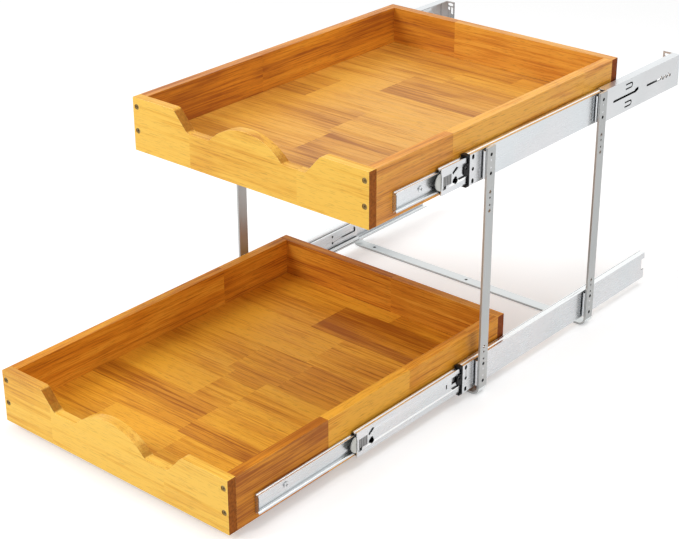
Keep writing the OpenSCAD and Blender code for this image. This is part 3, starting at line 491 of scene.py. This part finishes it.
def cut_fingers(mesh, edges):
    """Turns a joint's upright lines into the zigzag of a finger joint along Y."""
    upright = [e for e in edges if abs(e.verts[0].co.z - e.verts[1].co.z) > UPRIGHT_EDGE]
    made = bmesh.ops.subdivide_edges(mesh, edges=upright, cuts=2 * FINGERS - 1)
    verts = [v for v in made["geom_inner"] if isinstance(v, bmesh.types.BMVert)]
    heights = sorted({round(v.co.z, 6) for v in verts})
    for vert in verts:
        step = heights.index(round(vert.co.z, 6))
        vert.co.y += FINGER_DEPTH * (1 if step % 2 else -1)


def paint(mesh, axis, stave_of, painted_top_shade=0.0):
    """Writes every face's tone, seed and end grain into the attribute "stave".

    The given painted shade is added to the tone of the faces that look up.
    """
    layer = mesh.loops.layers.float_color.new("stave")
    seeds = {}
    for face in mesh.faces:
        key, tone = stave_of(face.calc_center_median())
        seed = seeds.setdefault(key, rng.random())
        # Painted shade on the faces that look up
        if face.normal.z > LOOKS_UP:
            tone += painted_top_shade
        end = min(1.0, max(0.0, END_GAIN * abs(face.normal[axis]) - END_OFFSET))
        for loop in face.loops:
            loop[layer] = (tone, seed, end, 1.0)


def finish_piece(mesh, name, body, materials, rounding, segments=2, edge_slot=-1):
    """Makes a piece from its bmesh: rounded edges, materials, body and the node it stands for.

    edge_slot is the material of the rounded edges, or -1 for that of the faces beside them.
    """
    for edge in mesh.edges:
        edge.smooth = edge.calc_face_angle(math.pi) < SHARP
    for face in mesh.faces:
        face.smooth = True
    data = bpy.data.meshes.new(name + "_dressed")
    mesh.to_mesh(data)
    mesh.free()
    piece = bpy.data.objects.new(name + "_dressed", data)
    bpy.context.collection.objects.link(piece)
    for material in materials:
        data.materials.append(material)
    bevel = piece.modifiers.new("rounded edges", "BEVEL")
    bevel.width = rounding
    bevel.segments = segments
    bevel.limit_method = "ANGLE"
    bevel.angle_limit = SHARP
    bevel.material = edge_slot
    even = piece.modifiers.new("flat faces stay flat", "WEIGHTED_NORMAL")
    even.keep_sharp = True
    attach(piece, body)
    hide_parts(name)


def split_plan(plan):
    """A plan's tones, and its joints in metres."""
    return plan[0::2], [joint * MM for joint in plan[1::2]]


def board(name, level, axis, materials, slot):
    """A board whose staves lie end to end along axis."""
    tones, joints = split_plan(BOARD_PLANS[name])
    mesh = node_copy(name)
    for joint in joints:
        edges = cut(mesh, axis, joint)
        if FINGER_JOINTED.get(name) == round(joint / MM):
            cut_fingers(mesh, edges)

    def stave_of(place):
        index = sum(place[axis] > joint for joint in joints)
        return index, tones[index]

    paint(mesh, axis, stave_of, TOP_PAINTED_SHADE.get(slot, 0.0))
    finish_piece(mesh, name, f"{level}_tray", materials, EASED_EDGE, EASED_SEGMENTS,
                 edge_slot=1)


def floor_panel(level, materials):
    """A tray's bottom, glued up from rows of staves across the tray."""
    name = f"{level}_tray_bottom"
    low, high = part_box(name)
    mesh = node_copy(name)
    rows = []
    back = high[Y]
    for depth, plan in FLOOR_PLANS[level]:
        tones, joints = split_plan(plan)
        rows.append((back - depth * MM, back, tones, [low[X] + joint for joint in joints]))
        back -= depth * MM
    for front, _, _, _ in rows[:-1]:
        cut(mesh, Y, front)
    for front, rear, _, joints in rows:
        for joint in joints:
            inside = [f for f in mesh.faces if front < f.calc_center_median().y < rear]
            cut(mesh, X, joint, inside)

    def stave_of(place):
        row = max((i for i, r in enumerate(rows) if place.y < r[1]), default=0)
        _, _, tones, joints = rows[row]
        index = sum(place.x > joint for joint in joints)
        return (row, index), tones[index]

    paint(mesh, X, stave_of)
    finish_piece(mesh, name, f"{level}_tray", materials, EASED_EDGE)


for level in LEVELS:
    woods = woods_of(level)
    board(f"{level}_tray_front", level, X, woods["front"], "front_wood")
    board(f"{level}_tray_back", level, X, woods["back"], "side_wood")
    for side in SIDES:
        board(f"{level}_tray_{side}_side", level, Y, woods["side"], "side_wood")
    floor_panel(level, woods["bottom"])


# ---- Metal and plastic pieces ----

# How far edges are rounded, by slot. The balls, cages and wood screws keep their CAD solids.
EDGE_ROUND = {
    "strip_steel": 0.5 * MM,
    "bracket_steel": 0.25 * MM,
    "rail_steel": 0.2 * MM,
    "pale_plastic": 0.4 * MM,
    "black_plastic": 0.5 * MM,
}

# The latch levers stand out past the bumpers' plates, this far from the middle of the part
LEVER_X = 214.5 * MM

# A face this narrow and this short on a rail or bracket is a cut edge of the sheet
CUT_WIDTH = 1.5 * MM
CUT_LENGTH = 90 * MM

body_of = {node: body for body, nodes in frame["record"]["behaviour"]["bodies"].items()
           for node in nodes}


def is_cut_edge(face):
    longest = max(edge.calc_length() for edge in face.edges)
    return longest < CUT_LENGTH and face.calc_area() < CUT_WIDTH * longest


def dress(name, slot):
    """A copy of a CAD node with rounded edges, in its slot's material."""
    mesh = node_copy(name)
    materials, edge_slot = [MATERIALS[slot]], -1
    # The strip's rounded edges take the painted shade
    if slot == "strip_steel":
        materials.append(STRIP_EDGE_SHADE)
        edge_slot = 1
    if slot == "pale_plastic":
        materials.append(LEVER)
        for face in mesh.faces:
            if abs(face.calc_center_median().x) > LEVER_X:
                face.material_index = 1
    # The cut faces of rails and brackets take the painted shade
    if name.endswith(("_rail", "_bracket")):
        materials.append(CUT_WALL_SHADE)
        for face in mesh.faces:
            if is_cut_edge(face):
                face.material_index = 1
    finish_piece(mesh, name, body_of[name], materials, EDGE_ROUND[slot], edge_slot=edge_slot)


for part in frame["record"]["subparts"]:
    node_name, slot_name = part["node"], part["material_slot"]
    if slot_name in EDGE_ROUND:
        dress(node_name, slot_name)
    elif slot_name in MATERIALS:
        data = frame["nodes"][node_name].data
        data.materials.clear()
        data.materials.append(MATERIALS[slot_name])


# ---- Floor, light and camera ----

FLOOR_SIZE = 16.0
FLOOR_DROP = 0.5 * MM
FLOOR_TINTS = ((0.80, 0.80, 0.80), (0.82, 0.82, 0.82))
FLOOR_TINT_SCALE = 3.0
FLOOR_ROUGHNESS = 0.9
# The floor's own glow, and the glow added between these distances, in metres, as the lamps fade
FLOOR_GLOW = 0.34
FAR_GLOW = 0.5
FAR_FROM, FAR_TO = 1.5, 4.0

WHITE = (1, 1, 1, 1)
WORLD_STRENGTH = 0.42

# The lamps: place in metres, diameter in metres and power in watts
LAMPS = {
    "key": ((-1.7, -2.9, 2.3), 1.8, 84),
    "top": ((0.3, 0.2, 2.6), 1.6, 27),
    "side": ((2.9, -0.6, 1.4), 1.8, 22),
}
# The point that the lamps face
MIDDLE = (0.0, -0.13, 0.15)


def stage_floor():
    """A pale floor that shows white, also far from the lamps, and keeps the object's shadow."""
    bpy.ops.mesh.primitive_plane_add(size=FLOOR_SIZE, location=(0, 0, -FLOOR_DROP))
    floor = bpy.context.object
    floor.name = "studio_floor"
    material, tree, shader, place = new_material("studio_floor", Roughness=FLOOR_ROUGHNESS)
    shader.inputs["Specular IOR Level"].default_value = 0.0
    shade = mix(tree, noise(tree, place, FLOOR_TINT_SCALE), *FLOOR_TINTS)
    tree.links.new(shade, shader.inputs["Base Color"])
    shader.inputs["Emission Color"].default_value = WHITE
    near = math_node(tree, "MULTIPLY", seen_plainly(tree), FLOOR_GLOW)
    path = tree.nodes.new("ShaderNodeLightPath").outputs
    reach = add_node(tree, "ShaderNodeVectorMath", {0: place}, operation="LENGTH").outputs["Value"]
    added = ramp(tree, reach, FAR_FROM, FAR_TO, 0.0, FAR_GLOW)
    far = math_node(tree, "MULTIPLY", path["Is Camera Ray"], added)
    tree.links.new(math_node(tree, "ADD", near, far), shader.inputs["Emission Strength"])
    floor.data.materials.append(material)


def seen_plainly(tree):
    """1 for rays from the camera, mirrors and glass, 0 for the light that falls on the object."""
    path = tree.nodes.new("ShaderNodeLightPath").outputs
    first = math_node(tree, "MAXIMUM", path["Is Camera Ray"], path["Is Glossy Ray"])
    return math_node(tree, "MAXIMUM", first, path["Is Transmission Ray"])


def studio_world():
    """White to whatever sees it plainly, and a weaker white light on the object."""
    world = bpy.data.worlds.new("studio")
    bpy.context.scene.world = world
    world.use_nodes = True
    tree = world.node_tree
    background = tree.nodes["Background"]
    background.inputs["Color"].default_value = WHITE
    strength = ramp(tree, seen_plainly(tree), 0.0, 1.0, WORLD_STRENGTH, 1.0)
    tree.links.new(strength, background.inputs["Strength"])


def area_light(name, place, size, power):
    """A round lamp that faces the middle of the object."""
    data = bpy.data.lights.new(name, "AREA")
    data.shape = "DISK"
    data.size = size
    data.energy = power
    light = bpy.data.objects.new(name, data)
    bpy.context.collection.objects.link(light)
    light.location = place
    light.rotation_euler = (Vector(MIDDLE) - Vector(place)).to_track_quat("-Z", "Y").to_euler()


# The camera: place in metres, angles in degrees, lens in mm
CAMERA_PLACE = (1.3497, -1.7483, 1.1411)
CAMERA_AZIMUTH = 40.573
CAMERA_ELEVATION = 25.883
CAMERA_ROLL = -0.231
CAMERA_LENS = 86.729


def add_camera():
    data = bpy.data.cameras.new("camera")
    data.lens = CAMERA_LENS
    camera = bpy.data.objects.new("camera", data)
    bpy.context.collection.objects.link(camera)
    camera.location = CAMERA_PLACE
    turn = Euler((math.radians(90 - CAMERA_ELEVATION), 0, math.radians(CAMERA_AZIMUTH)))
    roll = Euler((0, 0, math.radians(CAMERA_ROLL)))
    camera.rotation_euler = (turn.to_matrix() @ roll.to_matrix()).to_euler()
    bpy.context.scene.camera = camera


stage_floor()
studio_world()
for lamp, (place, size, power) in LAMPS.items():
    area_light(lamp, place, size, power)
add_camera()
bpy.context.scene.view_settings.view_transform = "Standard"
